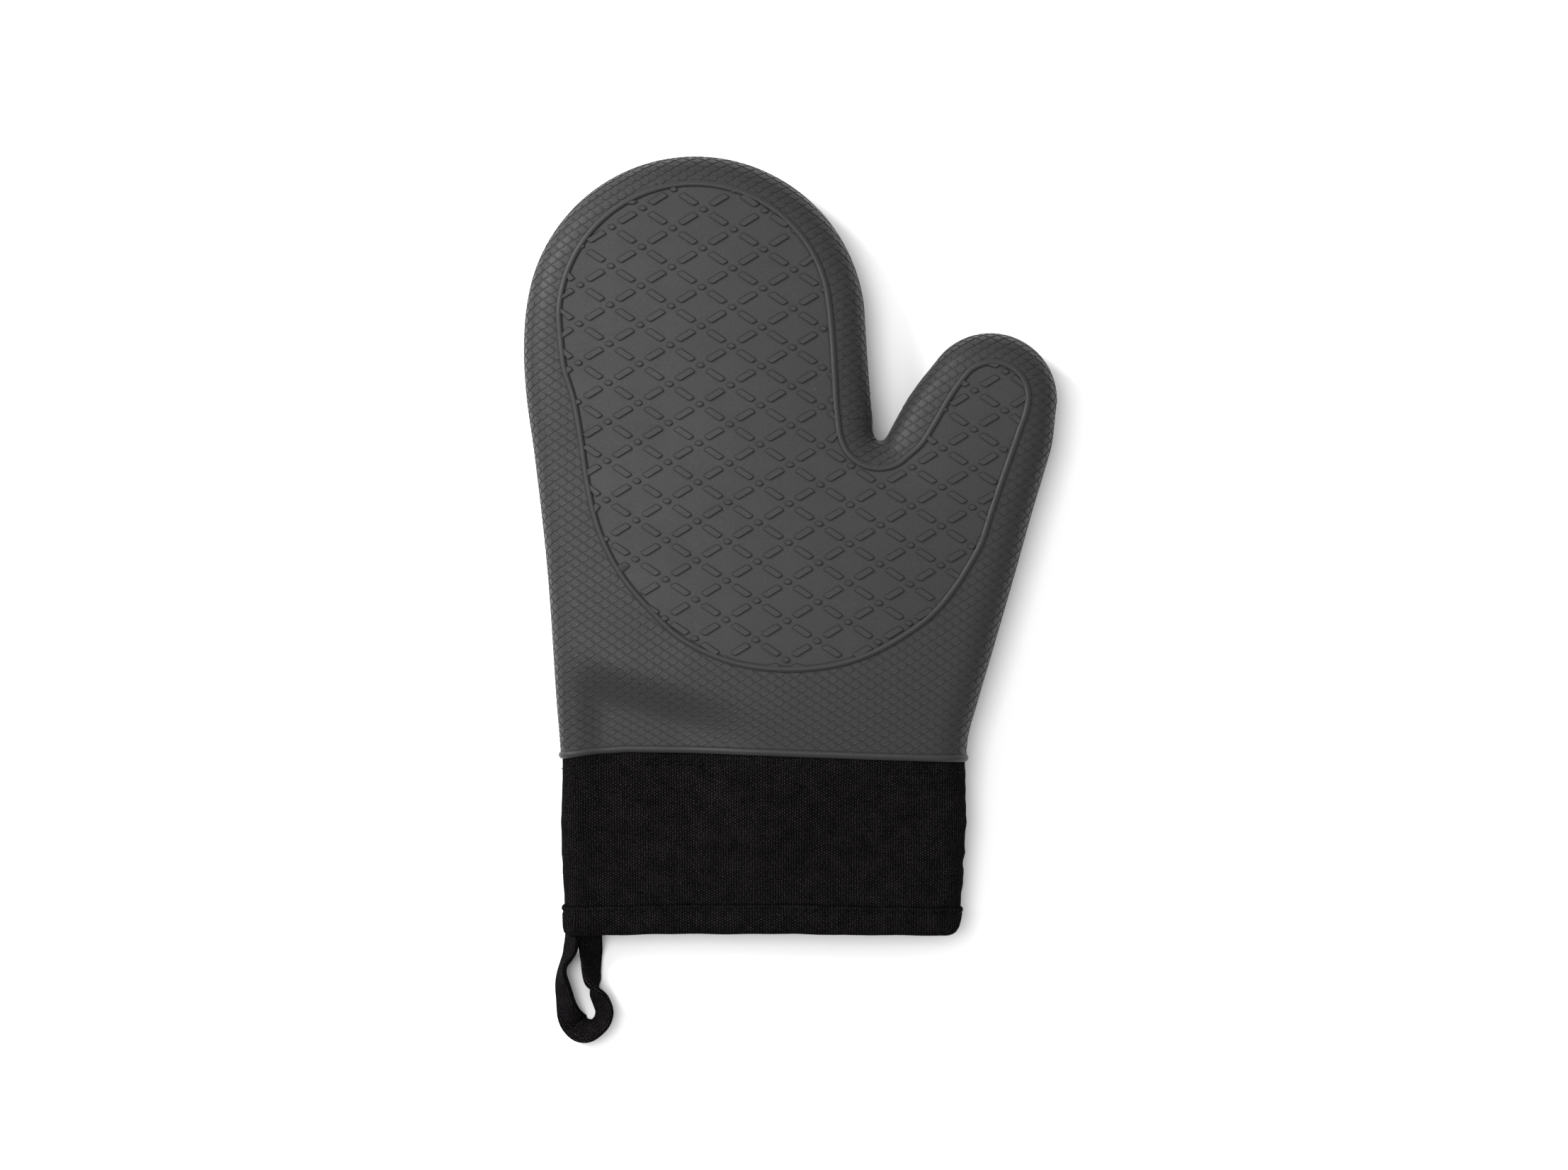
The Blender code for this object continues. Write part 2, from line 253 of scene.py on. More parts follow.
class Skin:
    """Wraps the pattern plane onto the mitt."""

    def __init__(self):
        line = smooth_line(np.array(mitt_outline()) * MM, 0.5 * MM)
        self.tangent = unit(np.gradient(line, axis=0))
        self.inward = np.column_stack([-self.tangent[:, 1], self.tangent[:, 0]])
        self.outline = line
        self.shoulder = line + self.inward * EDGE_WIDTH
        self.nearest = Nearest(self.shoulder)
        self.crown_low, self.crown_step, self.crown = crown_grid(line)
        angle = np.linspace(math.pi / 2, 0, 400)
        out = EDGE_WIDTH * np.maximum(0, np.cos(angle)) ** EDGE_SQUARENESS
        rise = np.sin(angle) ** EDGE_SQUARENESS
        depth = GLOVE_SHOULDER - GLOVE_EQUATOR
        run = np.concatenate([[0], np.cumsum(np.hypot(np.diff(out), depth * np.diff(rise)))])
        self.run, self.out, self.rise = run, out, rise
        self.facing = np.arctan2(-depth * np.gradient(rise, run), np.gradient(out, run))
        self.reach = run[-1]

    def even_places(self, spacing):
        """Point numbers that lie at most a spacing apart, along the outline and along the shoulder."""
        steps = np.maximum(np.diff(run_along(self.outline)), np.diff(run_along(self.shoulder)))
        run = np.concatenate([[0], np.cumsum(np.minimum(steps, spacing))])
        marks = np.linspace(0, run[-1], max(2, round(run[-1] / spacing)) + 1)
        return np.unique(np.searchsorted(run, marks).clip(0, len(run) - 1))

    def crown_at(self, plan):
        """The crown grid's value between its nodes."""
        cell = (plan - self.crown_low) / self.crown_step
        cell = np.clip(cell, 0, np.array(self.crown.shape) - 1.001)
        i, j = cell.astype(int).T
        u, v = (cell - cell.astype(int)).T
        grid = self.crown
        return ((1 - u) * ((1 - v) * grid[i, j] + v * grid[i, j + 1])
                + u * ((1 - v) * grid[i + 1, j] + v * grid[i + 1, j + 1]))

    def heights(self, plan, front):
        """Height of the skin over the flat face, and of the equator, at points in plan."""
        x, y = plan.T
        to_cuff = ramp(-y, 20 * MM, -HEM_BOTTOM_Y)
        equator = GLOVE_EQUATOR + (CUFF_EQUATOR - GLOVE_EQUATOR) * to_cuff
        crown = self.crown_at(plan)
        if not front:
            return BACK_SHOULDER - BACK_CROWN * crown, equator
        top = GLOVE_SHOULDER + (CUFF_SHOULDER - GLOVE_SHOULDER) * to_cuff + CROWN * crown
        # The slump lies below a line that falls to the right, and fades out that way.
        below_heel = -((x + 60 * MM) * 0.28 + (y + 31 * MM) * 0.96)
        sunk_share = ramp(x, -82 * MM, -62 * MM) * (1 - 0.92 * ramp(x, -40 * MM, -8 * MM))
        slump = SLUMP * ramp(below_heel, -8 * MM, 9 * MM) * sunk_share
        return top - slump * (1 - 0.5 * to_cuff), equator

    def locate(self, pattern):
        """For pattern points: the place along the shoulder line, and the distance past it."""
        near = np.clip(self.nearest.index(pattern), 1, len(self.shoulder) - 2)

        def past(index):
            return ((pattern - self.shoulder[index]) * self.tangent[index]).sum(axis=1)

        here, after, before = past(near), past(near + 1), past(near - 1)
        ahead = here / np.maximum(here - after, 1e-6)
        share = np.where(here > 0, ahead, here / np.maximum(before - here, 1e-6))
        place = near + np.clip(share, -1, 1)
        shoulder, inward = self.at_place(place)
        return place, -((pattern - shoulder) * inward).sum(axis=1)

    def at_place(self, place):
        """The shoulder and the inward direction at places given as fractional point numbers."""
        numbers = np.arange(len(self.shoulder))
        return interpolate(place, numbers, self.shoulder), unit(interpolate(place, numbers, self.inward))

    def wrap(self, pattern, place, out, front, lift):
        """Skin points for pattern points whose place and distance past the shoulder are known."""
        run = np.clip(out, 0, self.reach)
        shoulder, inward = self.at_place(place)
        edge_plan = shoulder - inward * np.interp(run, self.run, self.out)[:, None]
        plan = np.where((out > 0)[:, None], edge_plan, pattern)
        rise = np.interp(run, self.run, self.rise)
        facing = np.where(out > 0, np.interp(run, self.run, self.facing), 0)
        face, equator = self.heights(plan, front)
        height = equator + (face - equator) * rise
        sideways = -inward * np.sin(facing)[:, None]
        upright = np.cos(facing) * (1 if front else -1)
        normal = np.column_stack([sideways, upright])
        return np.column_stack([plan, height]) + normal * np.reshape(lift, (-1, 1))

    def place(self, pattern, front, lift=0.0):
        """Points of the pattern plane, on the front or back skin, at a height above it."""
        place, out = self.locate(pattern)
        return self.wrap(pattern, place, out, front, lift)

    def from_plan(self, plan):
        """The pattern-plane points that lie over points of the plan view."""
        place, out = self.locate(plan)
        shoulder, inward = self.at_place(place)
        run = np.interp(out, self.out, self.run)
        return np.where((out > 0)[:, None], shoulder - inward * run[:, None], plan)

    def section(self, share, y, front, lift):
        """Points round the wrist: share 0 is the left edge, 1 the right edge, at a distance y."""
        third = len(self.shoulder) // 3
        ends = []
        for side in (self.shoulder[:third], self.shoulder[-third:]):
            ends.append(np.interp(y, *side[np.argsort(side[:, 1]), ::-1].T))
        right, left = ends[0] + self.reach, ends[1] - self.reach
        pattern = np.column_stack([left + (right - left) * share, y])
        points = self.place(pattern, front, lift)
        points[:, 1] = y
        return points, pattern


def rim_shift(points):
    """Moves points near the silicone's rim along Y, because the rim arches up over the wrist."""
    x, y, _ = points.T
    places = np.array((-79, -68, -56, -35, -9, 25, 60)) * MM
    shift = np.interp(x, places, np.array((1.4, 3.1, 3.9, 3.7, 2.9, 1.6, 0.4)) * MM)
    moved = points.copy()
    moved[:, 1] += shift * np.exp(-((y - RIM_Y) / (16 * MM)) ** 2)
    return moved


# ---- gathering faces into meshes ----

class Soup:
    """Vertices, faces, pattern coordinates and a region number for each face."""

    def __init__(self):
        self.points, self.pattern, self.faces, self.regions = [], [], [], []
        self.count = 0

    def add(self, points, pattern, faces, regions):
        self.points.append(np.asarray(points, float))
        self.pattern.append(np.asarray(pattern, float))
        self.faces += [tuple(v + self.count for v in face) for face in faces]
        self.regions += list(regions)
        self.count += len(points)

    def piece(self, name, region, material, sharp_deg=30):
        """An object of the faces in one region."""
        points, pattern = np.vstack(self.points), np.vstack(self.pattern)
        kept = [face for face, tag in zip(self.faces, self.regions) if tag == region]
        used = np.unique(np.array([v for face in kept for v in face]))
        renumbered = np.zeros(len(points), int)
        renumbered[used] = np.arange(len(used))
        faces = [renumbered[list(face)].tolist() for face in kept]
        return new_piece(name, points[used], faces, pattern[used], material, sharp_deg)


def grid_faces(rows, columns, closed_rows=False, closed_columns=False, flip=False):
    """Faces between rows of points, with the last row or column joined to the first where closed."""
    faces = []
    for row in range(rows if closed_rows else rows - 1):
        for column in range(columns if closed_columns else columns - 1):
            here, over = row * columns, (row + 1) % rows * columns
            beside = (column + 1) % columns
            face = (here + column, here + beside, over + beside, over + column)
            faces.append(face[:1] + face[:0:-1] if flip else face)
    return faces


def new_object(name, data):
    obj = bpy.data.objects.new(name, data)
    bpy.context.scene.collection.objects.link(obj)
    return obj


def new_piece(name, points, faces, pattern, material, sharp_deg=30):
    mesh = bpy.data.meshes.new(name)
    mesh.from_pydata(points, [], faces)
    layer = mesh.attributes.new("pattern", "FLOAT_VECTOR", "POINT")
    coordinates = np.column_stack([pattern, np.zeros(len(pattern))]).astype(np.float32)
    layer.data.foreach_set("vector", coordinates.ravel())
    mesh.shade_smooth()
    mesh.set_sharp_from_angle(angle=math.radians(sharp_deg))
    mesh.materials.append(material)
    return new_object(name, mesh)


def region_of(plan):
    """Which side of the cut through the crotch a point is on."""
    offset = plan - CROTCH
    past = offset @ THUMB_ALONG > 0
    right = offset @ THUMB_ACROSS > -0.5 * MM
    return np.where(past & right, THUMB, MAIN)


def skin_surface(skin, depth, low_y, spacing, puff=None):
    """A closed-ended tube of the mitt's skin at one depth, cut open at low_y: points, pattern, faces."""
    index = skin.even_places(spacing)
    levels = np.linspace(0, skin.reach, 12)
    bm = bmesh.new()
    layer = bm.verts.layers.float_vector.new("pattern")

    def add_vertices(points, pattern):
        made = []
        for point, (u, v) in zip(points, pattern):
            vertex = bm.verts.new(point)
            vertex[layer] = (u, v, 0)
            made.append(vertex)
        return made

    def lifted(pattern):
        return -depth if puff is None else -depth - puff(pattern)

    for front in (True, False):
        turn = 1 if front else -1
        rows = []
        for level in levels:
            pattern = skin.shoulder[index] - skin.inward[index] * level
            out = np.full(len(index), level)
            points = skin.wrap(pattern, index, out, front, lifted(pattern))
            rows.append(add_vertices(points, pattern))
        for lower, upper in zip(rows, rows[1:]):
            for k in range(len(index) - 1):
                corners = (lower[k], upper[k], upper[k + 1], lower[k + 1])
                bm.faces.new(corners[::turn])
        edge = skin.shoulder[index]
        low, high = edge.min(axis=0), edge.max(axis=0)
        xs = np.arange(low[0], high[0], spacing)
        ys = np.arange(low[1] + spacing / 2, high[1], spacing * 0.87)
        lattice = np.array([(x + (k % 2) * spacing / 2, y) for k, y in enumerate(ys) for x in xs])
        lattice = lattice[is_inside(lattice, edge)]
        gap = lengths(lattice - edge[Nearest(edge).index(lattice)])
        lattice = lattice[gap > 0.6 * spacing]
        flat = [Vector(p) for p in np.vstack([edge, lattice])]
        found = geometry.delaunay_2d_cdt(flat, [], [list(range(len(edge)))], 1, 1e-7)
        pattern = np.array([tuple(p) for p in found[0]])
        made = add_vertices(skin.place(pattern, front, lifted(pattern)), pattern)
        for face in found[2]:
            bm.faces.new([made[v] for v in face][::turn])
    bmesh.ops.remove_doubles(bm, verts=bm.verts[:], dist=0.02 * MM)
    for at, facing, cut_off in (((0, low_y, 0), (0, -1, 0), True), ((*CROTCH, 0), (*THUMB_ALONG, 0), False)):
        everything = bm.verts[:] + bm.edges[:] + bm.faces[:]
        bmesh.ops.bisect_plane(bm, geom=everything, plane_co=at, plane_no=facing, clear_outer=cut_off)
    bm.verts.index_update()
    points = np.array([vertex.co for vertex in bm.verts])
    pattern = np.array([vertex[layer][:2] for vertex in bm.verts])
    faces = [tuple(vertex.index for vertex in face.verts) for face in bm.faces]
    bm.free()
    return points, pattern, faces


def add_surface(soup, points, pattern, faces):
    centres = np.array([points[list(face), :2].mean(axis=0) for face in faces])
    soup.add(rim_shift(points), pattern, faces, region_of(centres))


# ---- relief ----

def lattice_axes():
    across = np.array((math.cos(LATTICE_TURN), math.sin(LATTICE_TURN)))
    return across, np.array((-across[1], across[0]))


def lattice_nodes(origin, pitch, low, high):
    """Nodes of a centred rectangular lattice that covers a box."""
    across, along = lattice_axes()
    reach = int(lengths(high - low) / min(pitch)) + 2
    nodes = []
    for half in (0, 0.5):
        steps = np.arange(-reach, reach) + half
        i, j = (grid.reshape(-1, 1) for grid in np.meshgrid(steps, steps))
        nodes.append(origin + i * pitch[0] * across + j * pitch[1] * along)
    nodes = np.vstack(nodes)
    return nodes[((nodes > low) & (nodes < high)).all(axis=1)]


def edge_middles(nodes, pitch):
    """The middles of the lattice's edges, with each edge's direction and the other family's."""
    across, along = lattice_axes()
    rising = across * pitch[0] / 2 + along * pitch[1] / 2
    falling = across * pitch[0] / 2 - along * pitch[1] / 2
    centres = np.vstack([nodes + rising / 2, nodes + falling / 2])
    each = np.repeat([unit(rising), unit(falling)], len(nodes), axis=0)
    return centres, each, np.roll(each, len(nodes), axis=0)


def rounded_rectangle(half_length, half_width, radius, steps=2):
    points = []
    for x, y, start in ((1, 1, 0), (-1, 1, 90), (-1, -1, 180), (1, -1, 270)):
        centre = (x * (half_length - radius), y * (half_width - radius))
        points += arc(centre, radius, start, start + 90, steps)
    return np.array(points)


def raised_shape(outline, levels):
    """A template: the outline at each (inset, height), with a lid and a floor."""
    count = len(outline)
    points = np.vstack([np.column_stack([outline - np.sign(outline) * np.minimum(inset, abs(outline)),
                                         np.full(count, height)]) for inset, height in levels])
    faces = grid_faces(len(levels), count, closed_columns=True)
    numbers = list(range(len(points)))
    faces += [numbers[-count:], numbers[count - 1::-1]]
    return points, faces


def round_outline(length, width, power=1.0):
    """Ten points round an ellipse, which a power above 1 pulls in towards a lozenge."""
    angle = np.radians(np.arange(0, 360, 36))
    circle = np.column_stack([np.cos(angle), np.sin(angle)])
    return np.sign(circle) * abs(circle) ** power * (length / 2, width / 2)


def ridge_template(length, width):
    """A low bar with steep sides and a narrow flat top."""
    levels = [(0, -SUNK), (0.05 * MM, RIDGE_HEIGHT * 0.6), (0.17 * MM, RIDGE_HEIGHT)]
    return raised_shape(round_outline(length, width), levels)


def stamp(soup, skin, template, centres, u_axes, v_axes, front, confine=None):
    """Copies a template onto the skin at each centre; confine moves points that cross the rib."""
    shape, faces = template
    u_axes, v_axes = (np.broadcast_to(axis, centres.shape) for axis in (u_axes, v_axes))
    plan = centres[:, None] + shape[:, 0:1] * u_axes[:, None] + shape[:, 1:2] * v_axes[:, None]
    plan = plan.reshape(-1, 2)
    if confine is not None:
        plan = confine(plan)
    lift = np.tile(shape[:, 2], len(centres))
    points = rim_shift(skin.place(plan, front, lift))
    size = len(shape)
    # A shape that lies over the pattern plane's cut through the crotch is left out.
    copies = points.reshape(len(centres), size, 3)
    whole = lengths(np.ptp(copies, axis=1)) < 1.5 * lengths(np.ptp(shape, axis=0))
    points, plan = copies[whole].reshape(-1, 3), plan.reshape(len(centres), size, 2)[whole].reshape(-1, 2)
    u_axes, v_axes = u_axes[whole], v_axes[whole]
    # A falling edge's v axis points the other way, which would turn its faces inside out.
    turned = (u_axes[:, 0] * v_axes[:, 1] - u_axes[:, 1] * v_axes[:, 0] > 0) != front
    regions = region_of(copies[whole][:, :, :2].mean(axis=1))
    all_faces, tags = [], []
    for number, (flip, region) in enumerate(zip(turned, regions)):
        for face in faces:
            shifted = [v + number * size for v in face]
            all_faces.append(shifted[::-1] if flip else shifted)
            tags.append(region)
    soup.add(points, plan, all_faces, tags)


def add_rib(soup, skin, line, front):
    """A bead with steep sides and a round top, half sunk in the skin, along a closed line."""
    half = [(1.0, -0.5), (1.0, 0.0), (0.94, 0.34), (0.78, 0.64), (0.54, 0.85), (0.28, 0.96)]
    shares = half + [(0, 1.0)] + [(-across, up) for across, up in reversed(half)]
    ring = [(RIB_RADIUS * across, RELIEF * up) for across, up in shares]
    tangent = unit(np.roll(line, -1, axis=0) - np.roll(line, 1, axis=0))
    side = np.column_stack([tangent[:, 1], -tangent[:, 0]])
    rows = [line + side * across for across, _ in ring]
    points = np.vstack([skin.place(row, front, height) for row, (_, height) in zip(rows, ring)])
    faces = grid_faces(len(ring), len(line), closed_rows=True, closed_columns=True)
    if not front:
        faces = [face[::-1] for face in faces]
    regions = region_of(skin.place(line, front)[:, :2])
    soup.add(points, np.vstack(rows), faces, np.tile(regions, len(ring)))


class Rib:
    """The rib's line on the pattern plane, and which side of it points are on."""

    def __init__(self, skin):
        plan = smooth_line(np.array(rib_outline()) * MM, 1.4 * MM, closed=True)
        self.line = skin.from_plan(plan)
        self.nearest = Nearest(self.line)

    def inside(self, points):
        return is_inside(points, self.line)

    def distance(self, points):
        return lengths(points - self.line[self.nearest.index(points)])

    def keep_in(self, points, inside=True):
        """Moves points on the wrong side of the rib onto it."""
        right = self.inside(points) == inside
        return np.where(right[:, None], points, self.line[self.nearest.index(points)])

    def keep_out(self, points):
        return self.keep_in(points, inside=False)


def add_grip(soup, skin, rib, front):
    """Dashes on the lattice's edges and lozenges on its nodes, clipped by the rib."""
    low, high = rib.line.min(axis=0) - 8 * MM, rib.line.max(axis=0) + 8 * MM
    nodes = lattice_nodes(GRIP_ORIGIN, GRIP_PITCH, low, high)
    centres, own, other = edge_middles(nodes, GRIP_PITCH)
    levels = [(0, -SUNK), (0.05 * MM, 0.46 * MM), (0.22 * MM, DASH_HEIGHT)]
    dash = raised_shape(rounded_rectangle(3.15 * MM, 1.12 * MM, 0.4 * MM), levels)
    kept = rib.inside(centres) | (rib.distance(centres) < 1.6 * MM)
    stamp(soup, skin, dash, centres[kept], own[kept], other[kept], front, rib.keep_in)
    kept = rib.inside(nodes) | (rib.distance(nodes) < 0.5 * MM)
    lozenge = raised_shape(round_outline(2.76 * MM, 1.96 * MM, 1.2), levels)
    stamp(soup, skin, lozenge, nodes[kept], *lattice_axes(), front, rib.keep_in)


def add_fine_emboss(soup, skin, rib, front):
    """Small ridges and dots on a finer lattice, everywhere outside the rib and round the edge."""
    margin = skin.reach
    low, high = skin.shoulder.min(axis=0) - margin, skin.shoulder.max(axis=0) + margin
    low[1] = RIM_Y + 2.4 * MM
    nodes = lattice_nodes(GRIP_ORIGIN, FINE_PITCH, low, high)

    def usable(points, rib_gap):
        _, out = skin.locate(points)
        return ~rib.inside(points) & (rib.distance(points) > rib_gap) & (out < skin.reach)

    centres, own, _ = edge_middles(nodes, FINE_PITCH)
    kept = usable(centres, 1.0 * MM)
    centres, own = centres[kept], own[kept]
    beside = np.column_stack([-own[:, 1], own[:, 0]])
    stamp(soup, skin, ridge_template(*RIDGE_SIZE), centres, own, beside, front, rib.keep_out)
    nodes = nodes[usable(nodes, 1.2 * MM)]
    stamp(soup, skin, ridge_template(*DOT_SIZE), nodes, *lattice_axes(), front)


def still(share, y, lift, front):
    return y, lift


def sweep_round_wrist(skin, profile, columns=240, wobble=still):
    """A closed profile of (y, lift) pairs swept round the wrist, front and back: points, pattern, faces.

    The pattern runs round the wrist along X, and down along the profile, so a weave doesn't stretch on it.
    """
    share = (np.arange(columns) + 0.5) / columns
    rows, patterns = [], []
    for (y, lift), along in zip(profile, run_along(np.array(profile))):
        sides = []
        for is_front in (True, False):
            place_y, place_lift = wobble(share, np.full(columns, y), np.full(columns, lift), is_front)
            sides.append(skin.section(share, place_y, is_front, place_lift))
        (front, front_pattern), (back, back_pattern) = sides
        rows.append(np.vstack([front, back[::-1]]))
        around_x = np.concatenate([front_pattern[:, 0], back_pattern[::-1, 0]])
        patterns.append(np.column_stack([around_x, np.full(2 * columns, -along)]))
    faces = grid_faces(len(profile), 2 * columns, closed_rows=True, closed_columns=True, flip=True)
    return rim_shift(np.vstack(rows)), np.vstack(patterns), faces


# ---- materials ----

class Nodes:
    """A short way to write a material's nodes."""

    def __init__(self, name):
        self.material = bpy.data.materials.new(name)
        self.material.use_nodes = True
        self.tree = self.material.node_tree
        self.shader = self.tree.nodes["Principled BSDF"]

    def connect(self, node, inputs):
        for key, value in inputs.items():
            if isinstance(value, bpy.types.NodeSocket):
                self.tree.links.new(value, node.inputs[key])
            else:
                node.inputs[key].default_value = value

    def add(self, kind, inputs, **settings):
        node = self.tree.nodes.new(kind)
        for key, value in settings.items():
            setattr(node, key, value)
        self.connect(node, inputs)
        return node

    def math(self, operation, *values):
        return self.add("ShaderNodeMath", dict(enumerate(values)), operation=operation).outputs[0]

    def product(self, *values):
        result = values[0]
        for value in values[1:]:
            result = self.math("MULTIPLY", result, value)
        return result

    def pattern(self, scale):
        """The pattern-plane coordinates of the surface, in metres times the scale."""
        source = self.add("ShaderNodeAttribute", {}, attribute_name="pattern")
        inputs = {0: source.outputs["Vector"], "Scale": scale}
        return self.add("ShaderNodeVectorMath", inputs, operation="SCALE").outputs[0]

    def position(self):
        return self.add("ShaderNodeTexCoord", {}).outputs["Object"]

    def noise(self, vector, scale, detail=3.0, roughness=0.5):
        inputs = {"Vector": vector, "Scale": scale, "Detail": detail, "Roughness": roughness}
        return self.add("ShaderNodeTexNoise", inputs).outputs["Fac"]

    def openness(self, distance, samples, limits, **settings):
        """How open the surroundings are within a distance, mapped as by range."""
        node = self.add("ShaderNodeAmbientOcclusion", {"Distance": distance}, samples=samples, **settings)
        return self.range(node.outputs["AO"], *limits)

    def ramp(self, value, *stops):
        """The colour between two stops, each a place and a colour."""
        node = self.add("ShaderNodeValToRGB", {"Fac": value})
        for element, (place, colour) in zip(node.color_ramp.elements, stops):
            element.position = place
            element.color = (*colour, 1.0)
        return node.outputs["Color"]

    def range(self, value, *limits):
        """The value mapped from a range (low, high) to another one, and held within it."""
        return self.add("ShaderNodeMapRange", dict(enumerate((value, *limits)))).outputs[0]

    def mix(self, share, first, second):
        return self.add("ShaderNodeMix", {0: share, 6: first, 7: second}, data_type="RGBA").outputs[2]

    def bump(self, height, distance, strength=1.0):
        node = self.add("ShaderNodeBump", {"Height": height, "Distance": distance, "Strength": strength})
        self.connect(self.shader, {"Normal": node.outputs["Normal"]})

    def finish(self, **inputs):
        self.connect(self.shader, {key.replace("_", " "): value for key, value in inputs.items()})
        return self.material


def silicone_material():
    """Matt dark grey silicone with painted shade in the corners round its relief, and specks of lint."""
    make = Nodes("silicone")
    place = make.position()
    cloud = make.noise(place, 14, 4, 0.6)
    colour = make.ramp(cloud, (0.35, (0.0160, 0.0160, 0.0164)), (0.65, (0.0182, 0.0178, 0.0178)))
    open_share = make.openness(0.55 * MM, 6, (0.42, 0.95, 0.15, 1.0), only_local=True)
    speck = make.range(make.noise(place, 900, 2, 0.4), 0.79, 0.84, 0.0, 0.6)
    # Painted shade: the colour goes near black where the relief closes in round a point, as the openness
    # says.
    shaded = make.mix(open_share, (0.004, 0.004, 0.004, 1), colour)
    colour = make.mix(speck, shaded, (0.12, 0.12, 0.12, 1))
    rough = make.range(make.noise(place, 60, 3), 0.3, 0.7, 0.48, 0.56)
    # Painted shade on the reflections as well: they are weaker in the same corners.
    gloss = make.range(open_share, 0.15, 1.0, 0.05, 0.23)
    gloss = make.product(gloss, make.range(make.noise(place, 1100, 3, 0.7), 0.3, 0.7, 0.84, 1.16))
    make.bump(make.noise(place, 2600, 2, 0.6), 0.03 * MM, 0.5)
    return make.finish(Base_Color=colour, Roughness=rough, Sheen_Weight=0.05,
                       Sheen_Roughness=0.5, Specular_IOR_Level=gloss)


def woven_material(name, dark, light, warp_pitch, weft_pitch, relief, roughness, gloss, sheen):
    """Plain-weave cloth: yarns over and under each other, with painted highlight on the yarns' crowns and
    painted shade where the surroundings close in.

    A row of mottling is a noise's scale, detail and roughness, its range, and the brightness it becomes.
    """
    make = Nodes(name)
    by_yarn = make.pattern(1 / warp_pitch)
    split = make.add("ShaderNodeSeparateXYZ", {"Vector": make.pattern(math.pi)})
    swing = make.product(make.noise(by_yarn, 0.22, 3), 3.0)
    across = make.math("DIVIDE", split.outputs["X"], warp_pitch)
    along = make.math("DIVIDE", split.outputs["Y"], weft_pitch)
    warp = make.math("SINE", make.math("ADD", across, swing))
    weft = make.math("SINE", make.math("ADD", along, swing))
    over = make.range(make.product(warp, weft), -0.1, 0.1, 0.3, 1.0)
    column = make.math("POWER", make.math("ABSOLUTE", warp), 1.6)
    grain = make.math("POWER", make.math("ABSOLUTE", weft), 0.8)
    # Painted highlight: the yarns' crowns come out paler in the colour.
    crown = make.product(over, column, grain)
    mottling = ((2.8, 3, 0.7, 0.3, 0.7, 0.3, 1.6), (1.1, 2, 0.6, 0.35, 0.70, 0.3, 1.7),
                (0.16, 4, 0.6, 0.35, 0.65, 0.72, 1.25))
    fibre, fleck, patch = (make.range(make.noise(by_yarn, *row[:3]), *row[3:]) for row in mottling)
    # Painted shade: darker where other surfaces close in within a millimetre, as in folds and under the hem.
    open_share = make.openness(1.0 * MM, 4, (0.5, 0.95, 0.3, 1.0))
    # Real flecks and fibres, times the painted highlight and painted shade.
    tone_and_painted_light = make.math("ADD", make.product(crown, fleck, fibre), 0.07)
    tone_and_painted_light = make.product(tone_and_painted_light, 0.75, patch, open_share)
    colour = make.ramp(tone_and_painted_light, (0.05, dark), (0.95, light))
    make.bump(crown, relief, 1.0)
    return make.finish(Base_Color=colour, Roughness=roughness, Sheen_Weight=sheen, Sheen_Roughness=0.4,
                       Specular_IOR_Level=gloss)


def thread_material():
    make = Nodes("thread")
    inputs = {"Scale": 900.0, "Distortion": 1.0, "Vector": make.position()}
    twist = make.add("ShaderNodeTexWave", inputs, bands_direction="DIAGONAL").outputs["Fac"]
    colour = make.ramp(twist, (0.2, (0.0015, 0.0015, 0.0015)), (0.9, (0.0065, 0.006, 0.0065)))
    make.bump(twist, 0.06 * MM, 0.7)
    return make.finish(Base_Color=colour, Roughness=0.6, Specular_IOR_Level=0.05)


def wadding_material():
    make = Nodes("wadding")
    felt = make.noise(make.position(), 700, 5, 0.7)
    colour = make.ramp(felt, (0.3, (0.58, 0.55, 0.48)), (0.7, (0.76, 0.74, 0.68)))
    make.bump(felt, 0.4 * MM, 0.8)
    return make.finish(Base_Color=colour, Roughness=0.95, Sheen_Weight=0.3)


def floor_material():
    make = Nodes("floor")
    grain = make.noise(make.position(), 3, 2)
    colour = make.ramp(grain, (0.0, (0.90, 0.90, 0.90)), (1.0, (0.91, 0.91, 0.91)))
    return make.finish(Base_Color=colour, Roughness=0.9)


# ---- pieces ----

def bend_with_fingers(obj):
    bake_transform(obj)


def bend_with_thumb(obj):
    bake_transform(obj)


def thicken(obj, wall):
    """Gives an open surface a wall on its inner side."""
    thick = obj.modifiers.new("wall", "SOLIDIFY")
    thick.thickness = wall
    thick.offset = -1


def silicone_glove(skin, material):
    soup = Soup()
    rib = Rib(skin)
    add_surface(soup, *skin_surface(skin, 0.0, RIM_Y + 0.6 * MM, 3.0 * MM))
    points, pattern, faces = skin_surface(skin, SILICONE_WALL, RIM_Y + 0.6 * MM, 6.0 * MM)
    add_surface(soup, points, pattern, [face[::-1] for face in faces])
    for front in (True, False):
        add_rib(soup, skin, rib.line, front)
        add_grip(soup, skin, rib, front)
        add_fine_emboss(soup, skin, rib, front)
    ring = arc((0, -0.4 * MM), 1.2 * MM, 0, 360, 14)[:-1]
    bead = [(RIM_Y + 1.2 * MM + 1.1 * across, height) for across, height in ring]
    points, pattern, faces = sweep_round_wrist(skin, bead)
    soup.add(points, pattern, faces, [MAIN] * len(faces))
    glove = soup.piece("silicone_glove", MAIN, material)
    bend_with_fingers(glove)
    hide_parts("silicone_palm", "silicone_finger")
    thumb = soup.piece("silicone_glove_thumb", THUMB, material)
    bend_with_thumb(thumb)
    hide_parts("silicone_thumb")


